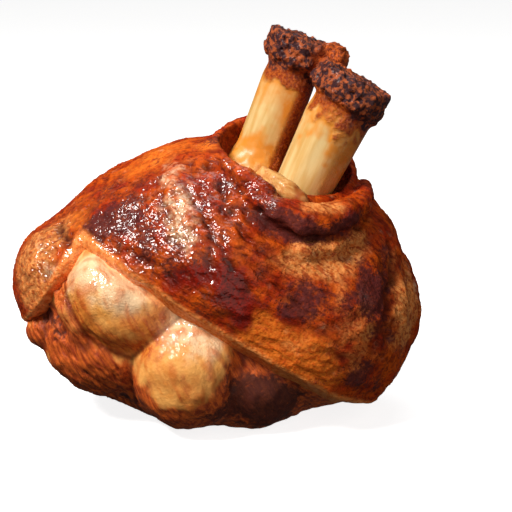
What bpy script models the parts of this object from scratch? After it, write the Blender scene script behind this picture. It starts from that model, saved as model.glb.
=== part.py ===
"""Roast pork knuckle, standing on its broad end with its two bones up.

The meat is one solid: a rind-covered cap that has drawn back from the front left, where the lobes
of lean meat below it bulge out, and a rolled collar of rind round the foot of the bones. Two cut
bones with flared, burnt ends stand in sockets in the meat, and a strip of tendon lies on the collar
in front of them.

Frame: metres, +Z up, origin on the ground at the middle of the knuckle, front towards -Y.
"""

import math

import bmesh
import bpy
from mathutils import Euler, Matrix, Vector, noise

MM = 0.001
GAP = 0.4 * MM  # clearance between pieces that touch
RIND = 7 * MM  # thickness of the rind
VOXEL = 2 * MM  # grid on which the lobes are merged
MEAT_DETAIL = 0.17  # share of the merged mesh's faces that is kept

# Lobes are (centre, radii, tilt in degrees about Y), all in millimetres.
RIND_LOBES = {
    "shoulder": ((-26, 5, 64), (58, 50, 35), -31),
    "chest": ((4, -2, 58), (46, 51, 45), -10),
    "right_bulge": ((34, -2, 43), (46, 50, 43), 15),
    "nose": ((-62, -4, 52), (20, 26, 20), -20),
    "back": ((4, 18, 40), (56, 38, 40), 0),
    "right_foot": ((38, -8, 20), (34, 38, 23), 0),
    "right_side": ((64, -4, 42), (18, 24, 21), 0),
}
LEAN_LOBES = {
    "upper_lean": ((-42, -25, 50), (25, 21, 21), 28),
    "lower_lean": ((-13, -35, 25), (19, 20, 20), 15),
    "left_flank": ((-40, -6, 30), (30, 34, 24), 15),
    "left_tip": ((-63, -8, 36), (12, 14, 10), 0),
    "middle_foot": ((14, -32, 12), (16, 18, 17), 0),
    "base": ((4, 0, 16), (54, 44, 21), 0),
}

# The hem of the rind, as X and Z: from under the nose up to its apex, then down to the right.
HEM = ((-96, 20), (-55, 74), (27, 21), (33, -12))
HEM_BACK = 6  # Y at which the drawn-back part ends

# The collar is a neck with two rolled folds, square to the neck's own axis.
NECK_TOP = Vector((28, -4, 101)) * MM
NECK_AXIS = Vector((0.21, -0.42, 0.88)).normalized()
NECK_RADIUS = 28 * MM
NECK_LENGTH = 26 * MM
COLLAR_FOLDS = (  # centre in mm, axis, ring radius, thickness radius at the front
    ((28, -4, 99), (0.21, -0.42, 0.88), 25 * MM, 5 * MM),
    ((27, -3, 91), (0.26, -0.26, 0.93), 33 * MM, 8.5 * MM),
)
FOLD_THINNING = 0.5  # share by which a fold is thinner at the back
PIT_RADII = (22, 21, 13)
PIT_TILT = (18, 20)  # degrees about X and Y

# A bone is (foot of its shaft, tilt to the right in degrees, length, shaft radius, end radius).
BONES = {
    "bone_rear": ((7.5, 8, 76), 20.5, 76, 10.0, 14.5),
    "bone_front": ((24, -11, 72), 25.5, 67, 10.8, 16.3),
}
BONE_SIDES = 24
BONE_ROWS = 18
BONE_DEPTH = 0.92  # front-to-back size over left-to-right size
FLARE_START = 0.62  # share of the length at which a bone begins to widen
CUT_END_DOME = 2.5  # how far the burnt end bulges, mm

TENDON_POINTS = ((17, -20, 99), (23, -26, 95), (31, -30, 90), (37, -31, 85))
TENDON_WIDTH = 4.8
TENDON_THICKNESS = 2.6
TENDON_FACING = Vector((-0.35, -0.75, 0.55))  # the way its broad side faces
TENDON_STEPS = 14
TENDON_SIDES = 12


def clear_scene():
    for obj in list(bpy.data.objects):
        bpy.data.objects.remove(obj)


def material(name, colour, roughness):
    made = bpy.data.materials.new(name)
    made.use_nodes = True
    shader = made.node_tree.nodes["Principled BSDF"]
    shader.inputs["Base Color"].default_value = (*colour, 1)
    shader.inputs["Roughness"].default_value = roughness
    shader.inputs["Metallic"].default_value = 0
    return made


def add_object(name, bm, surface=None, helper=False):
    """Turns a bmesh into an object; a helper is a cutter or guide that isn't part of the knuckle."""
    bmesh.ops.recalc_face_normals(bm, faces=bm.faces)
    mesh = bpy.data.meshes.new(name)
    bm.to_mesh(mesh)
    bm.free()
    mesh.shade_smooth()
    obj = bpy.data.objects.new(name, mesh)
    bpy.context.scene.collection.objects.link(obj)
    if surface:
        mesh.materials.append(surface)
    if helper:
        obj.hide_render = True
        obj.display_type = "WIRE"
    return obj


def add_lobe(bm, centre, radii, tilt, shrink=0.0):
    """Adds an ellipsoid, tilted about Y, with its radii shrunk by an even amount."""
    size = Matrix.Diagonal([radius * MM - shrink for radius in radii]).to_4x4()
    turn = Euler((0, math.radians(tilt), 0)).to_matrix().to_4x4()
    place = Matrix.Translation(Vector(centre) * MM)
    bmesh.ops.create_icosphere(bm, subdivisions=4, radius=1, matrix=place @ turn @ size)


def add_fold(bm, centre, axis, ring_radius, thickness, sides=48, section=12):
    """Adds a ring about the given axis whose roll is thinner towards the back."""
    back = (Vector((0, 1, 0)) - axis * axis.y).normalized()
    right = back.cross(axis)
    rows = []
    for i in range(sides):
        angle = math.tau * i / sides
        outward = back * math.cos(angle) + right * math.sin(angle)
        roll = thickness * (1 - FOLD_THINNING * (1 + math.cos(angle)) / 2)
        row = []
        for j in range(section):
            turn = math.tau * j / section
            offset = outward * (ring_radius + roll * math.cos(turn)) + axis * roll * math.sin(turn)
            row.append(bm.verts.new(centre + offset))
        rows.append(row)
    for i, row in enumerate(rows):
        following = rows[(i + 1) % sides]
        for j in range(section):
            k = (j + 1) % section
            bm.faces.new((row[j], row[k], following[k], following[j]))


def add_neck(bm):
    """Adds the neck that carries the collar's folds."""
    turn = NECK_AXIS.to_track_quat("Z", "Y").to_matrix().to_4x4()
    middle = NECK_TOP - NECK_AXIS * (2 * MM + NECK_LENGTH / 2)
    bmesh.ops.create_cone(
        bm, cap_ends=True, segments=40, radius1=NECK_RADIUS * 1.15, radius2=NECK_RADIUS * 0.95,
        depth=NECK_LENGTH, matrix=Matrix.Translation(middle) @ turn,
    )
    for centre, axis, ring_radius, thickness in COLLAR_FOLDS:
        add_fold(bm, Vector(centre) * MM, Vector(axis).normalized(), ring_radius, thickness)


def add_modifier(obj, kind, **settings):
    modifier = obj.modifiers.new(kind.title(), kind)
    for name, value in settings.items():
        setattr(modifier, name, value)


def merge_lobes(obj, smoothing):
    """Merges overlapping lobes into one skin and softens the creases between them."""
    add_modifier(obj, "REMESH", mode="VOXEL", voxel_size=VOXEL)
    add_modifier(obj, "SMOOTH", factor=0.5, iterations=smoothing)


def cut(obj, cutter):
    add_modifier(obj, "BOOLEAN", operation="DIFFERENCE", solver="EXACT", object=cutter)


def hem_cutter():
    """The part at the front left from which the rind has drawn back, as an upright prism."""
    depth = 150
    lower_left = (HEM[0][0], HEM[-1][1])
    bm = bmesh.new()
    outline = [bm.verts.new((x * MM, HEM_BACK * MM, z * MM)) for x, z in (*HEM, lower_left)]
    grown = bmesh.ops.extrude_face_region(bm, geom=[bm.faces.new(outline)])
    moved = [item for item in grown["geom"] if isinstance(item, bmesh.types.BMVert)]
    bmesh.ops.translate(bm, verts=moved, vec=(0, -depth * MM, 0))
    return add_object("hem_cutter", bm, helper=True)


def ground_cutter():
    bm = bmesh.new()
    size = Matrix.Diagonal((400 * MM, 400 * MM, 100 * MM, 1))
    bmesh.ops.create_cube(bm, size=1, matrix=Matrix.Translation((0, 0, -50 * MM)) @ size)
    return add_object("ground_cutter", bm, helper=True)


def pit_cutter():
    """The hollow inside the collar from which the bones rise."""
    bm = bmesh.new()
    place = Matrix.Translation(NECK_TOP + NECK_AXIS * 3 * MM)
    turn = Euler([math.radians(angle) for angle in (*PIT_TILT, 0)]).to_matrix().to_4x4()
    size = Matrix.Diagonal([radius * MM for radius in PIT_RADII]).to_4x4()
    bmesh.ops.create_icosphere(bm, subdivisions=4, radius=1, matrix=place @ turn @ size)
    return add_object("pit_cutter", bm, helper=True)


def make_meat(surface):
    """The rind-covered cap and the lean lobes under it, merged into one solid."""
    bm = bmesh.new()
    for lobe in RIND_LOBES.values():
        add_lobe(bm, *lobe)
    add_neck(bm)
    cap = add_object("rind_cap", bm, helper=True)
    merge_lobes(cap, smoothing=8)
    cut(cap, hem_cutter())

    bm = bmesh.new()
    for lobe in RIND_LOBES.values():
        add_lobe(bm, *lobe, shrink=RIND)
    for lobe in LEAN_LOBES.values():
        add_lobe(bm, *lobe)
    meat = add_object("meat", bm, surface)
    merge_lobes(meat, smoothing=2)
    add_modifier(meat, "BOOLEAN", operation="UNION", solver="EXACT", object=cap)
    merge_lobes(meat, smoothing=3)
    add_modifier(meat, "DECIMATE", ratio=MEAT_DETAIL)
    cut(meat, pit_cutter())
    cut(meat, ground_cutter())
    return meat


def bone_section(share, shaft, end):
    """Radius of a bone at a share of its length: a shaft that flares at the burnt end."""
    flare = max(0.0, (share - FLARE_START) / (1 - FLARE_START))
    foot = max(0.0, 0.2 - share)
    return shaft * (1 + 0.25 * foot) + (end - shaft) * flare ** 1.6


def bone_mesh(foot, tilt, length, shaft, end, grow=0.0):
    """A bone as stacked rings: slightly oval, lumpy at its burnt end, and closed by a low dome."""
    turn = Euler((0, math.radians(tilt), 0)).to_matrix()
    start = Vector(foot) * MM
    around = [math.tau * j / BONE_SIDES for j in range(BONE_SIDES)]
    across = [Vector((math.cos(angle), BONE_DEPTH * math.sin(angle), 0)) for angle in around]
    bm = bmesh.new()
    rings = []
    for i in range(BONE_ROWS + 1):
        share = i / BONE_ROWS
        radius = bone_section(share, shaft, end) * MM
        burnt = max(0.0, (share - 0.7) / 0.3)
        ring = []
        for outward in across:
            lump = 1 + 0.07 * burnt * noise.noise(outward * 2.5 + Vector((tilt, 0, 4 * share)))
            point = outward * (radius * lump + grow)
            point.z = share * length * MM - (grow if i == 0 else 0)
            ring.append(bm.verts.new(start + turn @ point))
        rings.append(ring)
    dome = []
    for outward in across:
        point = outward * (end * 0.55 * MM)
        point.z = (length + CUT_END_DOME) * MM + grow
        dome.append(bm.verts.new(start + turn @ point))
    rings.append(dome)
    join_rings(bm, rings)
    return bm


def join_rings(bm, rings):
    """Closes a row of rings of equal count into one skin with a face at each end."""
    for lower, upper in zip(rings, rings[1:]):
        for j in range(len(lower)):
            k = (j + 1) % len(lower)
            bm.faces.new((lower[j], lower[k], upper[k], upper[j]))
    bm.faces.new(rings[0])
    bm.faces.new(rings[-1])


def tendon_mesh(grow=0.0):
    """The strip of tendon: an oval section swept along its points, with blunt ends."""
    points = [Vector(point) * MM for point in TENDON_POINTS]
    bm = bmesh.new()
    rings = []
    for i in range(TENDON_STEPS + 1):
        share = i / TENDON_STEPS * (len(points) - 1)
        k = min(int(share), len(points) - 2)
        centre = points[k].lerp(points[k + 1], share - k)
        along = (points[k + 1] - points[k]).normalized()
        across = along.cross(TENDON_FACING).normalized()
        outward = across.cross(along)
        swell = math.sqrt(max(0.12, 1 - (2 * i / TENDON_STEPS - 1) ** 4))
        ring = []
        for j in range(TENDON_SIDES):
            angle = math.tau * j / TENDON_SIDES
            wide = across * math.cos(angle) * (TENDON_WIDTH * MM * swell + grow)
            thick = outward * math.sin(angle) * (TENDON_THICKNESS * MM * swell + grow)
            ring.append(bm.verts.new(centre + wide + thick))
        rings.append(ring)
    join_rings(bm, rings)
    return bm


def main():
    clear_scene()
    meat = make_meat(material("roast_meat", (0.42, 0.13, 0.04), 0.35))
    ivory = material("roast_bone", (0.78, 0.56, 0.26), 0.45)
    for name, sizes in BONES.items():
        add_object(name, bone_mesh(*sizes), ivory)
        cut(meat, add_object(name + "_socket", bone_mesh(*sizes, grow=GAP), helper=True))
    pale = material("tendon", (0.80, 0.55, 0.30), 0.4)
    tendon = add_object("tendon", tendon_mesh(), pale)
    cut(meat, add_object("tendon_seat", tendon_mesh(grow=GAP), helper=True))
    for name, sizes in BONES.items():
        cut(tendon, bpy.data.objects[name + "_socket"])


main()
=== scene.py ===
"""Looks of the roast pork knuckle: its rind, lean meat, burnt bones and tendon.

The soft pieces and the bones are distance fields in millimetres, in the part's frame. Each field
is meshed with OpenVDB. Its points are then moved for wrinkles, creases and fibres, and carry masks
such as "dark" or "gold", which the node materials turn into colour, gloss and relief.
"""
import itertools
import math

import bpy
import numpy as np
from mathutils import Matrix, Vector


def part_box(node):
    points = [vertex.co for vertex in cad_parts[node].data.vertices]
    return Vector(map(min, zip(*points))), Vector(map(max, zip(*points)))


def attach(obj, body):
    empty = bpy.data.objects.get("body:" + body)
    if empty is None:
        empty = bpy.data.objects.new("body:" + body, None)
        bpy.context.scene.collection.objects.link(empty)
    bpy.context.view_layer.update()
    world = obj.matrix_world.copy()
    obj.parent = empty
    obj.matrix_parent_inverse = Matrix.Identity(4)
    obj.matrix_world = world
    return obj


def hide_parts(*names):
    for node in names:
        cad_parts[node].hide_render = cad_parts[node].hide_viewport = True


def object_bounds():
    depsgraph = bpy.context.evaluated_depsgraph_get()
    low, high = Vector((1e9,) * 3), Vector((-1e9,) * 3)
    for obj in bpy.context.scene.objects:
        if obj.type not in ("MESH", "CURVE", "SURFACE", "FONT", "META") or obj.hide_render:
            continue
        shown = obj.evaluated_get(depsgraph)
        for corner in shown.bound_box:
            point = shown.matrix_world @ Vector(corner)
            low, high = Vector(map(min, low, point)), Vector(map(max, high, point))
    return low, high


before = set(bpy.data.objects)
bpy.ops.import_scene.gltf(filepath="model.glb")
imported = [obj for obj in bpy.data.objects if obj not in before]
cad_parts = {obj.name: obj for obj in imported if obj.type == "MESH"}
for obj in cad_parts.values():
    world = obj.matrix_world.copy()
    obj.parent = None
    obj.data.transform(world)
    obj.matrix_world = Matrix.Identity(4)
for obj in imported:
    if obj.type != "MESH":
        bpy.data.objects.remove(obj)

import openvdb
from mathutils import Vector

cad_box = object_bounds()
MM = 0.001

# ---------------------------------------------------------------------------------------------
# Form. A lobe is (centre, radii, tilt about Y in degrees, blend with the lobes before it), in mm.

RIND_LOBES = {
    "shoulder": ((-26, 5, 64), (58, 50, 35), -31, 10),
    "chest": ((4, -2, 60), (46, 53, 46), -10, 12),
    "right_bulge": ((32, -3, 43), (46, 50, 43), 15, 10),
    "nose": ((-61, -4, 53.5), (20, 26, 22), -20, 8),
    "back": ((4, 18, 40), (56, 38, 40), 0, 12),
    "right_foot": ((38, -7, 25), (34, 37, 23), 0, 10),
    "right_side": ((66.5, 2, 42.5), (15.2, 25, 23), -5, 1.2),
    "right_shoulder": ((56, -2, 70), (14, 26, 14), 25, 8),
}
LEAN_LOBES = {
    "upper_lean": ((-34, -27, 51.5), (28, 22.5, 22), 27, 2.0),
    "strip": ((-54.5, -32, 47), (5, 10, 19), -26, 1.2),
    "lower_lean": ((-10.5, -36.5, 26), (21.5, 20.5, 23), 12, 2.0),
    "left_flank": ((-42, -8, 32), (30, 33, 24), 15, 2.5),
    "left_tip": ((-64, -12, 36), (12, 14, 10), 0, 1.5),
    "middle_foot": ((13, -29, 19.5), (19.5, 18, 18.5), 0, 5),
    "base": ((2, 0, 16), (50, 43, 21), 0, 6),
}
RIND = 4.5  # thickness of the rind
LEAN_BOTTOM = 0.3  # Z of the lean meat's flat underside
HEM_APEX = (-51.8, 78.6)  # X and Z of the corner where the hem turns
HEM_SLOPE = 32.3  # degrees below level, from the apex down to the right
HEM_BACK = 10  # Y at which the drawn-back part ends
HEM_SLANT = 0.95  # the hem's face reaches this much further into the opening per mm of depth
NOSE_EDGE = 2  # X, from the apex, of the nose's edge, which meets the hem at a right angle
HELD_DEPTH = 3.2  # the lean meat lies this deep at the hem
BULGE_START, BULGE_RISE = 3.4, 2.4  # mm from the hem where it starts to rise, and the rise per mm

NECK_AXIS = (0.21, -0.42, 0.88)
ROLL_AXIS = (0.26, -0.26, 0.93)
NECK = ((24, 1, 88), NECK_AXIS, 28, 12, 6)  # centre, axis, radius, half height, rounding
# The collar and its lip are each (centre, axis, radius, thickness in front, thickness at the back).
COLLAR = ((26, -3.5, 90), ROLL_AXIS, 32, 7.0, 4.5)
LIP = ((25.5, -4, 100), NECK_AXIS, 27, 3.4, 3.2)
PIT = ((26.5, -4.5, 103), (26.5, 22.5, 18.5), (22, 22, 0))  # centre, radii, tilts
# Folds round the collar, each (points with their radii, blend): the roll in front of it, the ridge
# under that roll, and the lip's left end.
ROLLS = (
    (((13, -37.5, 94, 2.6), (22, -40, 88.5, 5.2), (31, -39.3, 85, 6.6), (40, -36.8, 83.5, 6.8),
      (48, -31.5, 85, 6.2), (54, -23, 87.5, 5.4), (57.5, -12, 89, 4.0), (58, -2, 91, 2.6)), 1.2),
    (((24, -44, 72, 2.0), (33, -42, 74, 3.2), (43, -37.5, 75, 3.8), (52, -30.5, 76.5, 3.4),
      (58, -20, 79, 2.4)), 2.2),
    (((4, -27, 104.5, 3.2), (11, -32, 99.5, 3.8), (19, -36, 94.5, 3.4)), 2.0),
)
# A bone is (foot, tilt to the right in degrees, distance to the middle of its burnt end, radius at
# the foot, radius under the end, end radius, tilt of the end).
BONES = {
    "bone_rear": ((7.5, 8, 76), 20.5, 71.5, 10.4, 10.6, 14.6, 22),
    "bone_front": ((24, -11, 72), 25.5, 64.5, 9.8, 12.6, 16.2, 32),
}
END_HEIGHT = 14  # length of the flare from the shaft to the middle of the burnt end
# Lumps on the rear bone: the knob beside its burnt end, and the joint at its foot.
KNOB = ((46.5, 1, 140), (5, 6, 7))
JOINT = ((14, 4.5, 95), (12.2, 11, 9), 20)
KNOB_COLOUR_MIDDLE = (47, -3, 139.5)  # its paler colour fades out round this point
STRAND_BLEND = 1.5  # between the rods of a strand
TENDON_POINTS = (
    (18, -23.5, 99.5, 3.0),
    (22, -27, 97, 3.7),
    (27, -30, 94.2, 3.8),
    (31.5, -31.5, 91.5, 3.6),
)


def turned(x, y, z):
    """Rotation matrix for angles in degrees about X, then Y, then Z."""
    cx, cy, cz = (math.cos(math.radians(angle)) for angle in (x, y, z))
    sx, sy, sz = (math.sin(math.radians(angle)) for angle in (x, y, z))
    about_x = np.array(((1, 0, 0), (0, cx, -sx), (0, sx, cx)))
    about_y = np.array(((cy, 0, sy), (0, 1, 0), (-sy, 0, cy)))
    about_z = np.array(((cz, -sz, 0), (sz, cz, 0), (0, 0, 1)))
    return (about_z @ about_y @ about_x).astype(np.float32)


def facing(axis):
    """Rotation matrix whose third column is the axis and whose second points to the back."""
    up = np.array(axis, float) / np.linalg.norm(axis)
    right = np.cross((0, 1, 0), up)
    right /= np.linalg.norm(right)
    return np.stack((right, np.cross(up, right), up), 1).astype(np.float32)


def lobe(p, centre, radii, tilt=0):
    """Distance to an ellipsoid."""
    angles = (0, tilt, 0) if np.isscalar(tilt) else tilt
    q = (p - np.array(centre, np.float32)) @ turned(*angles)
    radii = np.array(radii, np.float32)
    near = np.sqrt(((q / radii) ** 2).sum(1)) + 1e-6
    slope = np.sqrt(((q / radii ** 2) ** 2).sum(1)) + 1e-9
    return near * (near - 1) / slope


def join(a, b, blend):
    """The union of two fields, rounded where they meet."""
    share = np.clip(0.5 + 0.5 * (b - a) / blend, 0, 1)
    return b + (a - b) * share - blend * share * (1 - share)


def trim(a, b, blend):
    """The part of a that is inside b too."""
    return -join(-a, -b, blend)


def ring(p, centre, axis, radius, front, back):
    """Distance to a rolled fold, thick in front and thinner at the back."""
    q = (p - np.array(centre, np.float32)) @ facing(axis)
    out = np.hypot(q[:, 0], q[:, 1])
    behind = 0.5 + 0.5 * q[:, 1] / (out + 1e-6)
    return np.hypot(out - radius, q[:, 2]) - (front + (back - front) * behind)


def drum(p, centre, axis, radius, half, blend):
    """Distance to a short cylinder with rounded edges."""
    q = (p - np.array(centre, np.float32)) @ facing(axis)
    return trim(np.hypot(q[:, 0], q[:, 1]) - radius, np.abs(q[:, 2]) - half, blend)


def rod(p, start, end, start_radius, end_radius):
    """Distance to a round-ended rod whose radius changes along it."""
    start, end = np.array(start, np.float32), np.array(end, np.float32)
    line = end - start
    share = np.clip(((p - start) @ line) / (line @ line), 0, 1)
    gap = np.linalg.norm(p - start - share[:, None] * line, axis=1)
    return gap - (start_radius + (end_radius - start_radius) * share)


def strand(p, points):
    """Distance to a rounded strand through points (x, y, z, radius)."""
    field = None
    for start, end in zip(points, points[1:]):
        found = rod(p, start[:3], end[:3], start[3], end[3])
        field = found if field is None else join(field, found, STRAND_BLEND)
    return field


def lobes(p, table):
    """The lobes of a table, joined in order."""
    field = None
    for centre, radii, tilt, blend in table.values():
        found = lobe(p, centre, radii, tilt)
        field = found if field is None else join(field, found, blend)
    return field


def whole(p):
    """The rind's outer form before it drew back, with the collar and the pit inside it."""
    field = lobes(p, RIND_LOBES)
    field = join(field, drum(p, *NECK), 10)
    field = join(field, ring(p, *COLLAR), 4)
    field = join(field, ring(p, *LIP), 3)
    for points, blend in ROLLS:
        field = join(field, strand(p, points), blend)
    return trim(field, -lobe(p, *PIT), 2)


def opening(p):
    """Negative where the rind has drawn back."""
    slope = math.radians(HEM_SLOPE)
    x, z = p[:, 0] - HEM_APEX[0], p[:, 2] - HEM_APEX[1]
    below_hem = math.sin(slope) * x + math.cos(slope) * z
    right_of_nose = math.sin(slope) * z - math.cos(slope) * (x - NOSE_EDGE)
    return trim(trim(below_hem, right_of_nose, 5), p[:, 1] - HEM_BACK, 10)


def rind_field(p):
    """The rind, whose drawn-back edge slants so that its thickness shows."""
    outer = whole(p)
    edge = opening(p) - HEM_SLANT * np.clip(outer, -RIND - 0.5, 0.5)
    return trim(trim(outer, -edge, 1.4), -p[:, 2], 2)


def lean_field(p):
    """The lean meat: it comes out from under the rind's edge and bulges further away from it."""
    outer = whole(p)
    inner = join(outer + RIND, lobes(p, LEAN_LOBES), 2.5)
    gap = opening(p)
    free = step(-46, -56, p[:, 0]) * step(50, 42, p[:, 2])
    rise = BULGE_RISE * np.clip(-gap - BULGE_START, 0, 40)
    held = outer + HELD_DEPTH - rise - 20 * free
    return trim(trim(trim(inner, held, 1.2), gap - 7, 2), LEAN_BOTTOM - p[:, 2], 2)


def leaning(tilt):
    """Unit vector that leans from straight up to the right, by degrees."""
    return np.array((math.sin(math.radians(tilt)), 0, math.cos(math.radians(tilt))), np.float32)


def along(foot, tilt, distance):
    """The point at a distance from the foot, up along a leaning line."""
    lean = math.radians(tilt)
    return foot[0] + math.sin(lean) * distance, foot[1], foot[2] + math.cos(lean) * distance


# ---------------------------------------------------------------------------------------------
# Noise

SHUFFLED = np.random.default_rng(7).permutation(256)
CORNERS = list(itertools.product((0, 1), repeat=3))
DIAGONALS = [s for s in itertools.product((-1, 0, 1), repeat=3) if sum(map(abs, s)) == 2]
SLOPES = np.array(DIAGONALS, np.float32)
SEED_SHIFT, START_SHIFT = 12.7, 100.5  # cells: each seed reads another place of the noise
NOISE_GAIN = 1.5
RIDGE_GAIN = 1.8


def noise(p, size, seed):
    """Smooth noise between about -1 and 1, with bumps of the given size in mm."""
    q = p / size + (seed * SEED_SHIFT + START_SHIFT)
    cell = np.floor(q).astype(np.int32)
    inside = (q - cell).astype(np.float32)
    fade = inside ** 3 * (inside * (inside * 6 - 15) + 10)
    total = np.zeros(len(p), np.float32)
    for corner in CORNERS:
        at = (cell + corner) & 255
        picked = SHUFFLED[(SHUFFLED[(SHUFFLED[at[:, 0]] + at[:, 1]) & 255] + at[:, 2]) & 255]
        rise = (SLOPES[picked % 12] * (inside - np.array(corner, np.float32))).sum(1)
        weight = np.where(np.array(corner) == 1, fade, 1 - fade).prod(1)
        total += weight * rise
    return total * NOISE_GAIN


def layered(p, size, layers, seed):
    """Noise with finer and fainter layers added."""
    return sum(noise(p, size / 2 ** i, seed + i) * 0.5 ** i for i in range(layers))


def ridged(p, size, seed):
    """Noise with sharp ridges at 1 and valleys near 0 or below."""
    return 1 - np.abs(noise(p, size, seed)) * RIDGE_GAIN


def stretched(p, direction, ratio):
    """Points pressed together along a direction, so that noise read there runs along it."""
    along_it = np.array(direction, np.float32) / np.linalg.norm(direction)
    return p - (p @ along_it)[:, None] * along_it * (1 - 1 / ratio)


def step(low, high, values):
    """0 up to the low value, 1 from the high one, and smooth between; low may be the larger."""
    share = np.clip((values - low) / (high - low), 0, 1)
    return share * share * (3 - 2 * share)


def patches(p, table):
    """Sum of soft spots, each (centre, radii, strength)."""
    total = np.zeros(len(p), np.float32)
    for centre, radii, strength in table:
        q = (p - np.array(centre, np.float32)) / np.array(radii, np.float32)
        total += strength * np.exp(-(q * q).sum(1))
    return total


def from_line(p, points):
    """Distance to a line through the points."""
    gaps = [rod(p, start, end, 0, 0) for start, end in zip(points, points[1:])]
    return np.min(gaps, axis=0)


# ---------------------------------------------------------------------------------------------
# Meshes

BLOCK = 8  # grid cells along the side of a block
CROSSING = 1.4  # the surface may cross a block whose middle is nearer to it than this many sides
BATCH = 300  # blocks read at a time
BACKGROUND = 10.0  # the grid's value outside the box


def warped_by(p, size, amount):
    """The points, each moved by smooth noise."""
    return p + amount * np.stack([noise(p, size, 20 + axis) for axis in range(3)], 1)


def meshed(field, low, high, step_mm):
    """Points in mm and quads of the field's zero surface inside a box.

    The field is read on the full grid only in blocks that its surface may cross.
    """
    low = np.array(low, np.float32)
    span = step_mm * BLOCK
    counts = np.ceil((np.array(high) - low) / span).astype(int)
    starts = np.stack(np.meshgrid(*map(np.arange, counts), indexing="ij"), -1).reshape(-1, 3)
    middles = field((low + (starts + 0.5) * span).astype(np.float32))
    values = middles.reshape(counts).astype(np.float32)
    for axis in range(3):
        values = np.repeat(values, BLOCK, axis)
    inside = np.stack(np.meshgrid(*[np.arange(BLOCK)] * 3, indexing="ij"), -1).reshape(-1, 3)
    crossed = starts[np.abs(middles) < CROSSING * span]
    for batch in np.array_split(crossed, max(1, len(crossed) // BATCH)):
        cells = (batch[:, None] * BLOCK + inside).reshape(-1, 3)
        values[tuple(cells.T)] = field((low + cells * step_mm).astype(np.float32))
    grid = openvdb.FloatGrid(BACKGROUND)
    grid.copyFromArray(values)
    points, quads = grid.convertToQuads(0.0)
    points = points.astype(np.float32) * step_mm + low
    a, b, c = (points[quads[:, i]] for i in (0, 1, 2))
    if np.einsum("ij,ij->", np.cross(b - a, c - a), a - points.mean(0)) < 0:
        quads = quads[:, ::-1]
    return points, np.ascontiguousarray(quads, np.int32)


def outward(field, p, reach=0.6):
    """Unit normals of the field at the points."""
    shifts = np.eye(3, dtype=np.float32) * reach
    slope = np.stack([field(p + shift) - field(p - shift) for shift in shifts], 1)
    return slope / (np.linalg.norm(slope, axis=1, keepdims=True) + 1e-9)


def add_piece(name, points, quads, masks, surface, node):
    """Makes the mesh object of a piece, which stands for a CAD node and rides on the root body."""
    mesh = bpy.data.meshes.new(name)
    mesh.vertices.add(len(points))
    mesh.vertices.foreach_set("co", (points * MM).astype(np.float32).ravel())
    mesh.loops.add(quads.size)
    mesh.loops.foreach_set("vertex_index", quads.ravel())
    mesh.polygons.add(len(quads))
    mesh.polygons.foreach_set("loop_start", np.arange(0, quads.size, 4, dtype=np.int32))
    mesh.update(calc_edges=True)
    mesh.validate()
    for mask, values in masks.items():
        layer = mesh.attributes.new(mask, "FLOAT", "POINT")
        layer.data.foreach_set("value", values.astype(np.float32))
    mesh.shade_smooth()
    mesh.materials.append(surface)
    piece = bpy.data.objects.new(name, mesh)
    bpy.context.scene.collection.objects.link(piece)
    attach(piece, "root")
    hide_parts(node)


# ---------------------------------------------------------------------------------------------
# Materials

def rgb(red, green, blue):
    """A colour given as 0 to 255 on screen, as the linear numbers that the shaders take."""
    def linear(value):
        share = value / 255
        return share / 12.92 if share <= 0.04045 else ((share + 0.055) / 1.055) ** 2.4
    return (linear(red), linear(green), linear(blue), 1)


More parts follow.
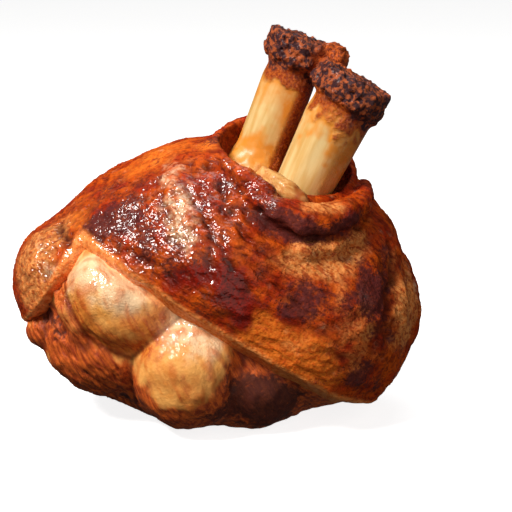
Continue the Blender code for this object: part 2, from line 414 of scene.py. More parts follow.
class Surface:
    """A Principled material built node by node.

    An input is a number, a colour or another node's output.
    """

    def __init__(self, name):
        self.material = bpy.data.materials.new(name)
        self.material.use_nodes = True
        self.tree = self.material.node_tree
        self.shader = self.tree.nodes["Principled BSDF"]
        self.place = self.node("ShaderNodeTexCoord").outputs["Object"]

    def node(self, kind, inputs=None, **settings):
        """Adds a node with its settings and its inputs, which go by name or number."""
        made = self.tree.nodes.new(kind)
        for name, value in settings.items():
            setattr(made, name, value)
        for key, value in (inputs or {}).items():
            self.feed(made.inputs[key], value)
        return made

    def feed(self, socket, value):
        """Links an output to the socket, or sets the socket's own value."""
        if isinstance(value, bpy.types.NodeSocket):
            self.tree.links.new(value, socket)
        else:
            socket.default_value = value

    def mask(self, name):
        """A mask that the mesh's points carry."""
        return self.node("ShaderNodeAttribute", attribute_name=name).outputs["Fac"]

    def noise(self, size, detail, tilt=0, ratio=1, roughness=0.6):
        """Noise from 0 to 1 with features of the given size in mm, longer along a tilted axis."""
        place = self.place
        if ratio != 1:
            turn = (0, math.radians(tilt), 0)
            inputs = {"Vector": place, "Rotation": turn, "Scale": (1, 1, ratio)}
            place = self.node("ShaderNodeMapping", inputs, vector_type="TEXTURE").outputs[0]
        scale = 1 / (size * MM)
        inputs = {"Vector": place, "Scale": scale, "Detail": detail, "Roughness": roughness}
        return self.node("ShaderNodeTexNoise", inputs).outputs["Fac"]

    def sharpen(self, value, low, high, bottom=0.0, top=1.0):
        """Runs smoothly from bottom to top as the value goes from low to high."""
        ends = {"From Min": low, "From Max": high, "To Min": bottom, "To Max": top}
        inputs = {"Value": value, **ends}
        return self.node("ShaderNodeMapRange", inputs, interpolation_type="SMOOTHSTEP").outputs[0]

    def math(self, operation, *values):
        """The result of a math node."""
        return self.node("ShaderNodeMath", dict(enumerate(values)), operation=operation).outputs[0]

    def sum(self, first, *others):
        for other in others:
            first = self.math("ADD", first, other)
        return first

    def times(self, value, factor):
        return self.math("MULTIPLY", value, factor)

    def uneven(self, value, grain, amount):
        """The value with a grain added that swings about 0.5."""
        return self.sum(value, self.times(self.math("SUBTRACT", grain, 0.5), amount))

    def mix(self, share, under, over):
        """A share of the colour over and the rest of the colour under."""
        inputs = {0: share, 6: under, 7: over}
        return self.node("ShaderNodeMix", inputs, data_type="RGBA").outputs[2]

    def two_tone(self, value, low, high, first, second):
        """The first colour where the value is low and the second where it is high."""
        return self.mix(self.sharpen(value, low, high), first, second)

    def bump(self, height, depth, strength=1.0):
        """A normal bent by relief that is a depth in mm for a height of 1."""
        inputs = {"Height": height, "Distance": depth * MM, "Strength": strength}
        return self.node("ShaderNodeBump", inputs).outputs[0]

    def finish(self, **inputs):
        """Feeds the shader's inputs, with _ for a space in a name, and returns the material."""
        for name, value in inputs.items():
            self.feed(self.shader.inputs[name.replace("_", " ")], value)
        return self.material


def rind_surface():
    """Roast skin: orange to mahogany, purple-brown where scorched, glossy where it is fatty."""
    s = Surface("roast_rind")
    cloudy = s.noise(9, 5)
    grain = s.noise(1.5, 3, roughness=0.6)
    fine = s.noise(1.5, 1)
    pores = s.noise(1.0, 2)
    wrinkle = s.noise(1.5, 2, tilt=-57, ratio=2.6)
    crease = s.noise(3.4, 3, tilt=-57, ratio=4, roughness=0.5)
    gloss, dark = s.mask("gloss"), s.mask("dark")

    colour = s.two_tone(cloudy, 0.36, 0.64, rgb(168, 42, 0), rgb(206, 84, 8))
    # Painted shade: the skin is darker in the valleys of the crease and wrinkle relief.
    colour = s.mix(s.sharpen(crease, 0.5, 0.36, 0, 0.6), colour, rgb(112, 20, 0))
    colour = s.mix(s.sharpen(wrinkle, 0.5, 0.34, 0, 0.7), colour, rgb(96, 16, 0))
    orange = s.two_tone(grain, 0.42, 0.62, rgb(232, 118, 34), rgb(210, 90, 18))
    colour = s.mix(s.mask("orange"), colour, orange)
    colour = s.mix(s.mask("red"), colour, rgb(134, 20, 0))
    golden = s.two_tone(grain, 0.42, 0.62, rgb(236, 150, 80), rgb(216, 116, 50))
    # Painted shade: the golden skin is darker in the wrinkles' valleys.
    golden = s.mix(s.sharpen(wrinkle, 0.5, 0.36, 0, 0.8), golden, rgb(164, 62, 20))
    colour = s.mix(s.mask("gold"), colour, golden)
    # Painted highlight: a pale pinkish white, darker in the wrinkles' valleys as painted shade.
    painted_highlight = s.two_tone(grain, 0.4, 0.6, rgb(254, 216, 176), rgb(236, 158, 106))
    painted_highlight = s.mix(s.sharpen(wrinkle, 0.48, 0.36, 0, 0.7), painted_highlight, rgb(196, 96, 50))
    colour = s.mix(s.mask("painted_highlight"), colour, painted_highlight)
    darkened = s.sharpen(s.uneven(dark, grain, 1.9), 0.2, 1.0, 0, 0.9)
    colour = s.mix(darkened, colour, rgb(86, 36, 36))
    freckle = s.times(s.sharpen(pores, 0.6, 0.68), s.sharpen(dark, 0.02, 0.3, 0.2, 0.85))
    colour = s.mix(freckle, colour, rgb(80, 28, 22))
    # The rind's cut edge is a lighter orange: partly its own colour, partly painted light, as it
    # faces down and away from the key light.
    rim = s.two_tone(grain, 0.4, 0.65, rgb(254, 158, 84), rgb(234, 116, 44))
    colour = s.mix(s.mask("rim"), colour, rim)
    # Painted shade in the folds' creases and the crinkles' valleys.
    colour = s.mix(s.mask("groove_shade"), colour, rgb(64, 14, 4))
    # Painted shade: near black inside the pit round the bones.
    colour = s.mix(s.mask("inner"), colour, rgb(44, 8, 2))
    colour = s.mix(s.mask("cut"), colour, rgb(120, 56, 26))

    rough = s.uneven(s.sharpen(gloss, 0, 1, 0.64, 0.34), fine, 0.2)
    fine_relief = s.times(fine, s.sharpen(gloss, 0, 1, 0.35, 0.8))
    relief = s.sum(s.times(grain, 0.5), fine_relief, s.times(wrinkle, 0.8), s.times(crease, 0.8))
    wet = s.sum(fine, s.times(s.noise(2.2, 1, tilt=-57, ratio=2), 1.2))
    return s.finish(
        Base_Color=colour,
        Roughness=rough,
        Normal=s.bump(relief, 0.6),
        Specular_IOR_Level=0.12,
        Coat_Weight=s.sharpen(gloss, 0.08, 0.7),
        Coat_Roughness=0.1,
        Coat_Normal=s.bump(wet, 0.5),
    )


def lean_surface():
    """Lean roast meat: cream lobes with orange streaks, brown and fibrous at the left."""
    s = Surface("lean_meat")
    grain = s.noise(1.4, 5, roughness=0.6)
    fine = s.noise(0.8, 3)
    cloudy = s.noise(5, 4)
    fibres = s.noise(1.6, 4, tilt=-30, ratio=7)
    gloss, brown = s.mask("gloss"), s.mask("brown")

    # Cream is partly the lobes' own pale colour and partly a painted highlight on their tops and on
    # the strip.
    colour = s.mix(s.mask("cream"), rgb(246, 172, 88), rgb(250, 208, 160))
    colour = s.mix(s.sharpen(cloudy, 0.5, 0.68, 0, 0.5), colour, rgb(226, 134, 48))
    colour = s.mix(s.sharpen(fibres, 0.56, 0.72, 0, 0.5), colour, rgb(224, 128, 44))
    orange = s.two_tone(fibres, 0.4, 0.6, rgb(220, 128, 46), rgb(186, 82, 20))
    colour = s.mix(s.mask("orange"), colour, orange)
    strip = s.two_tone(fibres, 0.4, 0.6, rgb(232, 130, 60), rgb(176, 64, 12))
    colour = s.mix(s.mask("strip"), colour, strip)
    colour = s.mix(s.mask("streak"), colour, rgb(204, 96, 24))
    browned = s.two_tone(fibres, 0.36, 0.64, rgb(150, 54, 16), rgb(220, 102, 34))
    colour = s.mix(brown, colour, browned)
    # Dark spots, darker towards the bottom, and painted shade in the fibres' grooves.
    darkened = s.sharpen(s.uneven(s.mask("dark"), grain, 1.6), 0.25, 0.9, 0, 0.9)
    colour = s.mix(darkened, colour, rgb(68, 24, 16))
    # Painted shade in the creases between the lobes.
    colour = s.mix(s.mask("groove_shade"), colour, rgb(96, 32, 8))

    fibre_relief = s.times(fibres, s.sharpen(brown, 0, 1, 0.25, 0.8))
    fine_relief = s.times(fine, s.sharpen(gloss, 0, 1, 0.1, 0.7))
    relief = s.sum(fibre_relief, s.times(grain, 0.5), fine_relief)
    return s.finish(
        Base_Color=colour,
        Roughness=s.sharpen(gloss, 0, 1, 0.6, 0.38),
        Normal=s.bump(relief, 0.7),
        Specular_IOR_Level=0.3,
        Coat_Weight=s.sharpen(gloss, 0.1, 0.9, 0.04, 1),
        Coat_Roughness=0.1,
        Coat_Normal=s.bump(s.noise(1.6, 1), 0.42),
    )


def bone_surface():
    """Bare bone: ivory, stained yellow and orange towards its ends, and charred at the top."""
    s = Surface("roast_bone")
    lengthwise = s.noise(3.2, 3, tilt=23, ratio=8, roughness=0.5)
    grain = s.noise(1.1, 5, roughness=0.65)
    cloudy = s.noise(5, 4)
    lumps = s.noise(2.2, 4)
    toast, burnt = s.mask("toast"), s.mask("burnt")

    colour = s.two_tone(lengthwise, 0.35, 0.7, rgb(232, 200, 138), rgb(212, 166, 94))
    stain = s.times(s.mask("stain"), s.sharpen(cloudy, 0.3, 0.6, 0.6, 1))
    colour = s.mix(stain, colour, rgb(226, 140, 44))
    toasted = s.two_tone(grain, 0.4, 0.6, rgb(150, 50, 4), rgb(200, 96, 22))
    colour = s.mix(s.sharpen(s.uneven(toast, grain, 0.7), 0.2, 0.9), colour, toasted)
    char = s.two_tone(lumps, 0.46, 0.6, rgb(64, 26, 30), rgb(184, 88, 40))
    knob = s.two_tone(grain, 0.4, 0.6, rgb(216, 98, 22), rgb(130, 46, 12))
    char = s.mix(s.mask("lump"), char, knob)
    colour = s.mix(s.sharpen(s.uneven(burnt, grain, 1.4), 0.3, 0.8), colour, char)

    grain_relief = s.times(grain, s.sharpen(toast, 0, 1, 0.06, 1.2))
    relief = s.sum(grain_relief, s.times(lengthwise, 0.15))
    return s.finish(
        Base_Color=colour,
        Roughness=s.sharpen(burnt, 0, 1, 0.42, 0.6),
        Normal=s.bump(relief, 1.2, 0.9),
        Specular_IOR_Level=0.3,
        Coat_Weight=0.15,
        Coat_Roughness=0.2,
    )


def tendon_surface():
    """Pale, moist tendon with a brown end."""
    s = Surface("tendon")
    strands = s.noise(1.2, 4, tilt=-56, ratio=4)
    colour = s.two_tone(strands, 0.35, 0.7, rgb(226, 172, 100), rgb(196, 122, 54))
    colour = s.mix(s.mask("toast"), colour, rgb(150, 70, 20))
    return s.finish(
        Base_Color=colour,
        Roughness=0.4,
        Normal=s.bump(strands, 0.6, 0.6),
        Specular_IOR_Level=0.3,
        Coat_Weight=0.2,
        Coat_Roughness=0.15,
    )


# ---------------------------------------------------------------------------------------------
# Rind

# Soft spots of colour on the rind: (centre, radii, strength).
DARK_SPOTS = (
    ((-46, -31, 80), (9, 8, 6), 1.4),
    ((-38, -34, 85), (12, 10, 8), 0.8),
    ((-32, -28, 93), (11, 10, 8), 0.7),
    ((-26, -42, 81), (10, 8, 8), 0.8),
    ((-16, -49, 71), (13, 8, 7), 0.9),
    ((-8, -30, 99), (5, 8, 6), 0.35),
    ((4, -31, 100), (8, 8, 6), 0.55),
    ((12, -37, 94), (9, 8, 5), 0.45),
    ((-1, -8, 110), (6, 9, 4), 1.1),
    ((20, -43, 88), (7, 8, 6), 1.4),
    ((30, -44, 85), (7, 8, 5), 0.9),
    ((40, -42, 82), (9, 8, 4), 0.7),
    ((52, -33, 84), (8, 8, 5), 0.8),
    ((27, -46, 83), (8, 8, 5), 1.2),
    ((38, -43, 79.5), (9, 8, 3.5), 1.1),
    ((50, -36, 83.5), (8, 8, 3), 0.9),
    ((-30, -14, 102), (9, 8, 4), 0.6),
    ((-46, -14, 91), (8, 8, 5), 0.6),
    ((61, -16, 88), (6, 10, 6), 0.8),
    ((57, -10, 98), (6, 10, 6), 0.6),
    ((32, -51, 61), (11, 8, 9), 0.8),
    ((31, -53, 53), (12, 8, 6), 0.8),
    ((47, -48, 54), (10, 8, 8), 0.7),
    ((57, -38, 64), (8, 9, 11), 0.95),
    ((62, -40, 51), (8, 8, 7), 1.2),
    ((66, -30, 60), (7, 9, 9), 0.85),
    ((66, -19, 74), (6, 10, 10), 0.5),
    ((64, -39, 37), (7, 10, 8), 0.7),
    ((53, -45, 26), (10, 8, 8), 1.0),
    ((62, -34, 18), (10, 10, 10), 0.7),
    ((-66, -28, 50), (5, 6, 4), 0.5),
)
RED_SPOTS = (
    ((-3, -53, 68), (11, 8, 6), 1.0),
    ((7, -55, 61), (7, 6, 8), 1.4),
    ((10, -54, 52), (4, 6, 8), 1.6),
    ((-14, -51, 65), (12, 6, 4), 0.8),
    ((8, -34, 96), (9, 8, 6), 0.6),
    ((-24, -41, 82), (10, 8, 8), 0.5),
    ((17, -50, 74), (10, 8, 8), 0.3),
)
ORANGE_SPOTS = (
    ((-22, -6, 105), (12, 14, 5), 1.0),
    ((-34, -8, 98), (12, 14, 6), 0.6),
    ((-4, -10, 109), (6, 8, 4), 0.8),
    ((-54, -18, 82), (9, 10, 8), 0.9),
    ((24, -50, 70), (10, 6, 8), 0.35),
    ((28, -45, 74), (8, 6, 3), 0.8),
    ((13, -52, 42), (8, 6, 6), 0.8),
    ((19, -52, 42), (9, 6, 8), 1.6),
    ((16, -54, 49), (5, 6, 5), 0.9),
    ((30, -53, 36), (13, 6, 9), 1.5),
    ((40, -50, 29), (11, 7, 8), 1.0),
    ((50, -44, 22), (8, 8, 8), 0.4),
    ((60, -22, 82), (7, 8, 5), 0.6),
    ((68, -32, 34), (8, 8, 10), 0.5),
)
GOLD_SPOTS = (
    ((-62, -18, 76), (9, 10, 7), 0.8),
    ((-16, -14, 104), (6, 10, 4), 0.5),
    ((38, -43, 74), (12, 6, 4), 1.4),
    ((53, -33, 76), (9, 6, 4), 1.2),
    ((42, -42, 69), (10, 7, 5), 1.2),
    ((53, -35, 71), (7, 6, 4), 0.8),
    ((66, -24, 66), (6, 8, 10), 0.5),
    ((72, -28, 50), (6, 9, 12), 0.9),
    ((40, -38, 90), (11, 8, 3), 1.1),
    ((30, -48, 70), (8, 6, 5), 0.7),
    ((27, -53, 40), (8, 6, 4), 0.6),
    ((-70, -20, 67), (10, 14, 12), 1.2),
    ((-72, -26, 54), (9, 10, 9), 1.2),
    ((76, -14, 50), (7, 12, 14), 1.1),
    ((73, -26, 38), (7, 10, 8), 0.8),
    ((54, -46, 44), (10, 8, 4), 0.5),
    ((48, -46, 58), (16, 12, 14), 0.45),
    ((52, -44, 34), (14, 10, 10), 0.45),
)
# Painted highlight: pale spots where the wet skin catches the light, most of them on a band below
# the collar.
PAINTED_HIGHLIGHT_SPOTS = (
    ((-17, -26, 101), (7, 8, 5), 0.8),
    ((-15, -38, 93), (8, 8, 6), 1.0),
    ((-13, -44, 86), (7, 8, 6), 1.0),
    ((-11, -48, 79), (6, 6, 6), 0.9),
    ((-30, -42, 73), (6, 8, 2.5), 0.6),
    ((-69, -20, 70), (5, 8, 5), 0.6),
    ((-62, -30, 64), (5, 6, 4), 0.8),
    ((78, -12, 54), (5, 10, 8), 0.5),
    ((44, -41, 71), (8, 6, 4), 0.6),
)
GLOSS_SPOTS = (
    ((-36, -34, 84), (22, 22, 16), 1.0),
    ((-12, -46, 80), (20, 18, 20), 1.1),
    ((1, -53, 63), (12, 10, 12), 0.7),
    ((-68, -22, 64), (14, 16, 16), 1.0),
    ((-52, -20, 85), (18, 22, 12), 0.7),
    ((8, -34, 97), (14, 12, 10), 0.7),
    ((20, -34, 94), (8, 10, 8), 0.6),
)
# Creases and ridges: (points, half width, depth: a ridge is negative). The creases are also painted
# darker as painted shade.
FOLDS = (
    (((-50, -30, 77), (-38, -40, 75), (-26, -46, 73), (-14, -51, 65)), 1.5, 1.0),
    (((-46, -32, 73), (-36, -42, 69), (-26, -48, 66)), 3.0, -0.8),
    (((0, -22, 105), (10, -36, 94), (24, -45, 79)), 1.6, 0.9),
    (((-4, -24, 103), (5, -37, 94), (18, -47, 80)), 1.5, 0.7),
    (((8, -42, 90), (18, -46, 82), (28, -46, 74)), 1.4, 0.7),
    (((2, -42, 91), (12, -48, 82), (22, -50, 72)), 1.5, 1.0),
    (((14, -52, 70), (24, -52, 62), (32, -51, 54)), 1.3, 0.8),
    (((-4, -24, 103), (3, -38, 94), (9, -46, 85), (17, -50, 74)), 1.3, 1.2),
    (((-10, -35, 96), (-3, -46, 85), (5, -53, 73), (13, -54, 60)), 1.4, 1.2),
    (((1, -31, 99), (6, -42, 89), (13, -48.5, 79.5)), 1.2, 1.0),
    (((-2, -46, 86), (8, -51, 76), (18, -53, 66)), 1.4, 0.6),
    (((6, -44, 88), (16, -48, 79), (25, -49, 70)), 1.2, 0.6),
    (((12, -42, 89), (20, -45.5, 82)), 1.2, 0.6),
    (((27, -46, 73), (34, -43.5, 74)), 2.0, 1.6),
    (((16, -43, 89), (24, -44.5, 82), (33, -43.5, 79), (43, -39.5, 78.5), (52, -32, 80.5),
      (60, -18, 84)), 1.6, 2.3),
    (((67, -20, 72), (68, -21, 66), (69, -25, 60), (66, -33, 55), (65, -37, 46),
      (66, -37, 38)), 1.7, 2.4),
    (((72, -14, 68), (74, -18, 59), (72, -28, 50), (72, -28, 42)), 3.0, -1.3),
    (((62, -28, 72), (64, -31, 60), (61, -38, 50)), 1.6, 0.7),
    (((73, -14, 66), (75, -13, 54), (72, -22, 42)), 1.4, 0.8),
    (((52, -46, 42), (62, -40, 42), (68, -33, 44)), 1.8, 0.9),
    (((26, -55, 47), (40, -52, 46), (54, -46, 47)), 2.4, 0.5),
    (((-62, -12, 78), (-58, -24, 74), (-54, -32, 71)), 1.8, 1.1),
    (((-78, -14, 58), (-74, -25, 60), (-66, -30, 62)), 1.8, 0.6),
    (((-16, -24, 101), (-12, -42, 88), (-8, -49, 78), (-8, -52, 70)), 3.4, -1.1),
    (((-9, -22, 103), (-5, -40, 92), (-1, -50, 80), (-2, -53, 70)), 1.6, 0.8),
    (((-22, -28, 99), (-19, -40, 88), (-15, -48, 78)), 1.6, 0.7),
)


def make_rind():
    """The rind: wrinkled, with folds, a proud hem and masks for its browning and gloss."""
    points, quads = meshed(rind_field, (-86, -60, -2), (86, 62, 118), step_mm=0.93)
    normals = outward(rind_field, points)
    # Where things are: these run from 0 to 1, apart from hem and depth, which are in mm.
    gloss = np.clip(patches(points, GLOSS_SPOTS), 0, 1)
    front = step(20, 0, points[:, 1])
    hem = opening(points)
    depth = -whole(points)
    rim = step(2.8, 0.6, hem) * front
    under = step(1.2, 0.4, points[:, 2])
    # Painted shade inside the pit round the bones.
    inner = step(2.2, -0.5, lobe(points, *PIT) + 0.8)

    # Height in mm: broad swells, wrinkles that run down to the right, upright ones at the right,
    # the folds, and a proud hem.
    warped = warped_by(points, 7, 1.6)
    across = stretched(warped, (0.82, 0.15, -0.55), 3.5)
    crinkle = ridged(across, 3.6, 3) + 0.5 * ridged(across, 2.2, 5)
    right_side = step(52, 70, points[:, 0])
    upright = ridged(stretched(warped, (0.1, -0.2, 1), 4), 3.4, 11)
    height = 0.9 * noise(points, 22, 1) + 0.5 * noise(points, 9, 2)
    height += 0.42 * (crinkle - 0.8) * (1 - 0.6 * right_side) * (1 - 0.7 * rim)
    height += 0.55 * right_side * (upright - 0.6)
    # Painted shade along the creases, gathered as the folds are pressed in.
    groove_shade = np.zeros(len(points), np.float32)
    for line, width, drop in FOLDS:
        shape = np.exp(-(from_line(warped, line) / width) ** 2)
        height -= drop * shape
        if drop > 0:
            groove_shade = np.maximum(groove_shade, shape * min(drop / 1.4, 1))
    height += 0.5 * np.exp(-((hem - 1.2) / 1.6) ** 2) * front
    points = points + normals * (height * (1 - under))[:, None]
    points[:, 2] = np.maximum(points[:, 2], 0)

    # Colour masks: the spots made uneven, and clouds of colour at the back.
    uneven = layered(points, 8, 3, 30)
    back = step(-5, 25, points[:, 1])
    dark = patches(points, DARK_SPOTS) + 0.34 * uneven
    dark += back * (0.4 + 0.6 * noise(points, 18, 40))
    red = patches(points, RED_SPOTS) + 0.25 * layered(points, 7, 3, 50)
    red += back * 0.3 * noise(points, 15, 41)
    orange = patches(points, ORANGE_SPOTS) + 0.3 * layered(points, 9, 3, 65)
    gold = patches(points, GOLD_SPOTS) + 0.3 * layered(points, 9, 3, 60)
    gold += back * 0.5 * noise(points, 16, 42)
    # The painted highlight: the pale spots, made uneven.
    painted_highlight = patches(points, PAINTED_HIGHLIGHT_SPOTS) + 0.5 * layered(points, 5, 3, 70)
    # Painted shade in the crinkles' valleys.
    valley = step(0.5, -0.3, crinkle - 0.6)
    masks = {
        "dark": step(0.1, 1.3, dark) * (1 - 0.8 * rim),
        "red": step(0.2, 1.1, red) * (1 - rim),
        "orange": step(0.2, 1.0, orange),
        "gold": step(0.25, 1.0, gold),
        "painted_highlight": step(0.3, 1.4, painted_highlight),
        "gloss": np.clip(gloss + 0.25 * uneven, 0, 1) * (1 - inner),
        "groove_shade": np.clip(groove_shade * 0.75 + valley * (0.2 + 0.2 * gloss), 0, 1) * (1 - 0.8 * rim),
        # The cut edge: partly its own lighter colour, partly painted light.
        "rim": rim * step(-5.5, -3.2, hem),
        "inner": inner * step(9, 4, depth),
        "cut": under,
    }
    add_piece("rind", points, quads, masks, rind_surface(), "meat")


# ---------------------------------------------------------------------------------------------
# Lean meat

# Soft spots of colour on the lean meat: (centre, radii, strength).
# Cream: partly the lobes' own pale colour, partly a painted highlight where the tops of the lobes
# and the strip catch the light.
CREAM_SPOTS = (
    ((-47, -39, 68), (8, 8, 6), 1.2),
    ((-40, -46, 61), (11, 8, 8), 1.0),
    ((-30, -47, 57), (9, 8, 7), 0.8),
    ((-8, -48, 45), (14, 8, 7), 1.4),
    ((-13, -50, 50), (5, 5, 4), 1.2),
    ((-2, -52, 37), (8, 8, 7), 0.4),
    ((-56, -37, 61), (3.5, 6, 5), 1.2),
)
LEAN_ORANGE_SPOTS = (
    ((-34, -48, 44), (16, 8, 5), 0.5),
    ((-32, -44, 37), (16, 10, 5), 1.0),
    ((-22, -44, 52), (6, 8, 10), 0.7),
    ((-30, -48, 49), (10, 8, 4), 0.6),
    ((-10, -57, 27), (14, 8, 8), 0.5),
    ((-22, -52, 30), (6, 8, 8), 0.5),
    ((-4, -54, 17), (14, 8, 6), 0.8),
    ((-51, -43, 50), (5, 8, 10), 1.3),
    ((-46, -41, 38), (5, 8, 8), 1.3),
    ((-70, -18, 36), (8, 12, 8), 0.9),
    ((-56, -34, 62), (6, 8, 6), 0.5),
)
BROWN_SPOTS = (
    ((-62, -28, 43), (8, 12, 10), 1.3),
    ((-56, -36, 32), (12, 14, 11), 1.4),
    ((-46, -38, 20), (16, 14, 12), 1.5),
    ((-30, -42, 14), (14, 12, 9), 1.4),
    ((-14, -50, 11), (14, 12, 5), 1.1),
    ((14, -46, 22), (15, 14, 18), 1.5),
    ((30, -38, 14), (14, 14, 14), 1.5),
    ((4, -48, 14), (10, 10, 8), 1.2),
    ((-40, 0, 20), (50, 34, 24), 1.2),
    ((-71, -16, 35), (7, 12, 8), 1.0),
)
LEAN_DARK_SPOTS = (
    ((-67, -26, 46), (6, 8, 6), 1.0),
    ((-60, -31, 40), (5, 8, 6), 0.8),
    ((14, -48, 20), (12, 10, 10), 1.1),
    ((24, -42, 12), (12, 12, 12), 1.4),
    ((0, -50, 13), (12, 8, 5), 0.9),
    ((-36, -38, 12), (14, 10, 5), 0.8),
    ((-48, -38, 26), (6, 8, 8), 0.4),
    ((3, -50, 34), (5, 8, 10), 0.5),
)
LEAN_GLOSS_SPOTS = (
    ((-40, -44, 60), (14, 12, 12), 1.1),
    ((-10, -50, 44), (14, 10, 10), 1.1),
    ((-56, -40, 58), (6, 6, 8), 1.0),
    ((-13, -50, 50), (6, 6, 6), 1.0),
)


def make_lean():
    """The lean meat: smooth lobes with faint bands, and coarse fibres at the left."""
    points, quads = meshed(lean_field, (-84, -62, -2), (50, 24, 84), step_mm=0.8)
    normals = outward(lean_field, points)
    # 1 to the left of a slanting line, where the meat is fibrous.
    left = step(-33, -40, points[:, 0] + 0.62 * (points[:, 2] - 30))
    warped = warped_by(points, 8, 1.2)
    fibres = stretched(warped, (0.5, 0.1, -0.85), 7)
    strands = ridged(fibres, 3.4, 2) + 0.6 * ridged(fibres, 1.9, 4)
    bands = noise(stretched(warped, (0.3, 0.0, -0.95), 6), 3.2, 6)
    height = 0.6 * noise(points, 12, 1) + 0.3 * noise(points, 5, 3)
    height += left * 0.6 * (strands - 0.8) + (1 - left) * 0.3 * bands
    points = points + normals * (height * step(0.4, 1.5, points[:, 2]))[:, None]
    points[:, 2] = np.maximum(points[:, 2], LEAN_BOTTOM)

    uneven = layered(points, 6, 3, 30)
    # Browner and darker towards the bottom.
    low = step(16, 4, points[:, 2])
    # fibrous: browner on the fibres' ridges, and darker in their grooves as painted shade.
    fibrous = 0.3 * left * (strands - 0.8)
    cream = patches(points, CREAM_SPOTS)
    orange = patches(points, LEAN_ORANGE_SPOTS)
    brown = patches(points, BROWN_SPOTS) + 0.3 * uneven + fibrous + low
    dark = patches(points, LEAN_DARK_SPOTS) + 0.3 * uneven - fibrous + 0.3 * low
    clean = step(0.05, 0.6, cream + orange)
    gaps = [lobe(points, *LEAN_LOBES[name][:3]) for name in LEAN_LOBES if name != "base"]
    nearest = np.sort(np.stack(gaps, 1), axis=1)
    # Painted shade where two lobes meet.
    crease = step(2.0, 0.2, nearest[:, 1] - nearest[:, 0])
    in_strip = step(1.0, -0.4, lobe(points, *LEAN_LOBES["strip"][:3]))
    masks = {
        "cream": step(0.1, 1.0, cream + 0.3 * uneven),
        "orange": step(0.2, 1.1, orange + 0.3 * uneven),
        "strip": in_strip * step(66, 60, points[:, 2]),
        "streak": step(0.1, 0.7, bands) * (1 - left) * 0.55,
        "brown": step(0.35, 1.0, brown),
        "dark": step(0.2, 1.2, dark) - 0.4 * clean,
        "gloss": np.clip(patches(points, LEAN_GLOSS_SPOTS) + 0.2 * uneven, 0, 1),
        "groove_shade": np.clip(crease * 0.7, 0, 1),
    }
    add_piece("lean_meat", points, quads, masks, lean_surface(), "meat")


# ---------------------------------------------------------------------------------------------
# Bones and tendon

def above_end(p, name):
    """Distance in mm above the middle of a bone's burnt end."""
    middle = np.array(along(*BONES[name][:3]), np.float32)
    return (p - middle) @ leaning(BONES[name][-1])


def bone_field(p, name):
    """A shaft that widens into a rough, flat-topped burnt end."""
    foot, tilt, reach, start, under_end, end, end_tilt = BONES[name]
    field = rod(p, foot, along(foot, tilt, reach - END_HEIGHT), start, under_end)
    field = join(field, drum(p, along(foot, tilt, reach), leaning(end_tilt), end - 0.6, 5.2, 3), 8)
    if name == "bone_rear":
        field = join(field, lobe(p, *KNOB), 5)
        field = join(field, lobe(p, *JOINT) - 0.7 * noise(p, 4, 9), 5)
    burnt = step(-10, -3, above_end(p, name))
    rough = 0.7 * noise(p, 6, 3) + 0.7 * noise(p, 2.6, 5) + 0.5 * noise(p, 1.4, 7)
    return field - burnt * rough


def make_bone(name, surface):
    """A bone, toasted below its burnt end, stained at both ends, and browner and more stained on
    its right side, partly as toast and partly as painted shade on the side away from the key light.
    """
    foot, tilt = BONES[name][:2]
    rear = name == "bone_rear"
    low, high = (np.array(corner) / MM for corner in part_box(name))
    points, quads = meshed(lambda p: bone_field(p, name), low - 4, high + 4, step_mm=0.6)
    normals = outward(lambda p: bone_field(p, name), points, reach=0.3)
    axis = leaning(tilt)
    ribs = noise(stretched(points, axis, 8), 4.0, 12)
    points = points + normals * (0.2 * ribs)[:, None]

    height = above_end(points, name)
    offset = points - np.array(foot, np.float32)
    from_foot = offset @ axis
    sideways = np.array((axis[2], 0, -axis[0]), np.float32)
    # right: 1 on the bone's right side, which is painted browner and more stained, partly as toast
    # and partly as painted shade.
    right = step(-3, 9, offset @ sideways)
    uneven = layered(points, 7, 3, 15)
    browned = height + 6 * uneven
    under_end = step(-18, -9, browned + (3 if rear else 1) * right)
    # The right side's toast, fully on the rear bone, is partly painted shade.
    right_side = (1.0 if rear else 0.4) * step(0.3, 1, right)
    toast = np.maximum(under_end, right_side)
    if rear:
        toast += 0.45 * step(30, 18, from_foot + 8 * uneven)
        bottom = step(40, 30, from_foot + 5 * uneven)
    else:
        bottom = step(20, 14, from_foot + 3 * uneven)
    top = step(-32 if rear else -24, -14, browned + 10 * right)
    masks = {
        "burnt": step(-10, -4, height + 4 * uneven + 3 * right),
        "lump": step(12, 7, np.linalg.norm(points - np.array(KNOB_COLOUR_MIDDLE), axis=1)),
        "toast": toast,
        "stain": np.clip(top + bottom + 0.7 * right, 0, 1),
    }
    add_piece(name.replace("bone", "roast_bone"), points, quads, masks, surface, name)


def tendon_field(p):
    """A strand with fine ridges along it."""
    return strand(p, TENDON_POINTS) + 0.5 * noise(stretched(p, (0.75, -0.4, -0.5), 3), 3, 4)


def make_tendon():
    """The tendon, brown at its lower right end."""
    points, quads = meshed(tendon_field, (8, -42, 76), (46, -12, 108), step_mm=0.5)
    far_end = np.linalg.norm(points - np.array(TENDON_POINTS[-1][:3]), axis=1)
    masks = {"toast": step(6.5, 3.0, far_end + 1.5 * noise(points, 3, 1))}
    add_piece("tendon_strip", points, quads, masks, tendon_surface(), "tendon")


# ---------------------------------------------------------------------------------------------
# Studio, in metres

AMBIENT = 0.06  # strength of the white surroundings as light
FLOOR_REACH = 3.0
FLOOR_TOP = -0.0002  # just under the part
FLOOR_GLOW = 1.06  # keeps the floor white
LIGHT_AIM = (0.0, 0.0, 0.06)
# The camera's target is this far from the middle of the CAD box.
CAMERA_SHIFT = Vector((0.0152, 0, -0.0147))
CAMERA_ELEVATION = math.radians(14)
CAMERA_DISTANCE = 0.65
CAMERA_LENS = 114  # focal length in mm


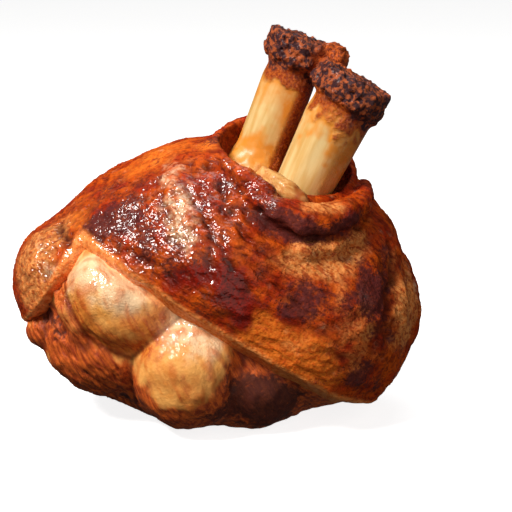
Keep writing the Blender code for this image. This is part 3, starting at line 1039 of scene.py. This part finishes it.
def floor_surface():
    """White, and bright enough by itself to stay white."""
    s = Surface("floor")
    white = (0.8, 0.8, 0.8, 1)
    inputs = {"Emission_Color": white, "Emission_Strength": FLOOR_GLOW}
    return s.finish(Base_Color=white, Roughness=0.9, **inputs)


def add_light(name, place, size, watts, tint=(1, 1, 1)):
    """A round area light that points at the knuckle."""
    light = bpy.data.lights.new(name, "AREA")
    light.shape = "DISK"
    light.size = size
    light.energy = watts
    light.color = tint
    lamp = bpy.data.objects.new(name, light)
    lamp.location = place
    lamp.rotation_euler = (Vector(LIGHT_AIM) - Vector(place)).to_track_quat("-Z", "Y").to_euler()
    bpy.context.scene.collection.objects.link(lamp)


def make_studio():
    """A white floor and surroundings, a small key light, a wide fill light and a top light."""
    scene = bpy.context.scene
    scene.view_settings.view_transform = "Standard"
    world = bpy.data.worlds.new("studio")
    world.use_nodes = True
    nodes, links = world.node_tree.nodes, world.node_tree.links
    seen = nodes.new("ShaderNodeLightPath").outputs["Is Camera Ray"]
    strength = nodes.new("ShaderNodeMapRange")
    strength.inputs["To Min"].default_value = AMBIENT
    strength.inputs["To Max"].default_value = 1.0
    links.new(seen, strength.inputs["Value"])
    links.new(strength.outputs[0], nodes["Background"].inputs["Strength"])
    nodes["Background"].inputs["Color"].default_value = (1, 1, 1, 1)
    scene.world = world

    mesh = bpy.data.meshes.new("floor")
    signs = ((-1, -1), (1, -1), (1, 1), (-1, 1))
    corners = [(x * FLOOR_REACH, y * FLOOR_REACH, FLOOR_TOP) for x, y in signs]
    mesh.from_pydata(corners, [], [(0, 1, 2, 3)])
    mesh.materials.append(floor_surface())
    floor = bpy.data.objects.new("floor", mesh)
    floor.visible_glossy = False
    floor.visible_diffuse = False
    scene.collection.objects.link(floor)

    add_light("key", (-0.5, -0.45, 0.8), size=0.34, watts=13.5, tint=(1.0, 0.97, 0.93))
    add_light("fill", (0.75, -1.0, 0.25), size=2.4, watts=7, tint=(1.0, 0.96, 0.9))
    add_light("top", (0.1, 0.3, 0.9), size=0.6, watts=2)


def make_camera():
    """Looks along +Y from the camera's elevation above level."""
    low, high = (Vector(corner) for corner in cad_box)
    target = (low + high) / 2 + CAMERA_SHIFT
    away = Vector((0, -math.cos(CAMERA_ELEVATION), math.sin(CAMERA_ELEVATION)))
    lens = bpy.data.cameras.new("camera")
    lens.lens = CAMERA_LENS
    lens.clip_start = 0.01
    camera = bpy.data.objects.new("camera", lens)
    camera.location = target + CAMERA_DISTANCE * away
    camera.rotation_euler = (target - camera.location).to_track_quat("-Z", "Y").to_euler()
    bpy.context.scene.collection.objects.link(camera)
    bpy.context.scene.camera = camera


make_camera()
make_studio()
make_rind()
make_lean()
bone_material = bone_surface()
for bone in BONES:
    make_bone(bone, bone_material)
make_tendon()
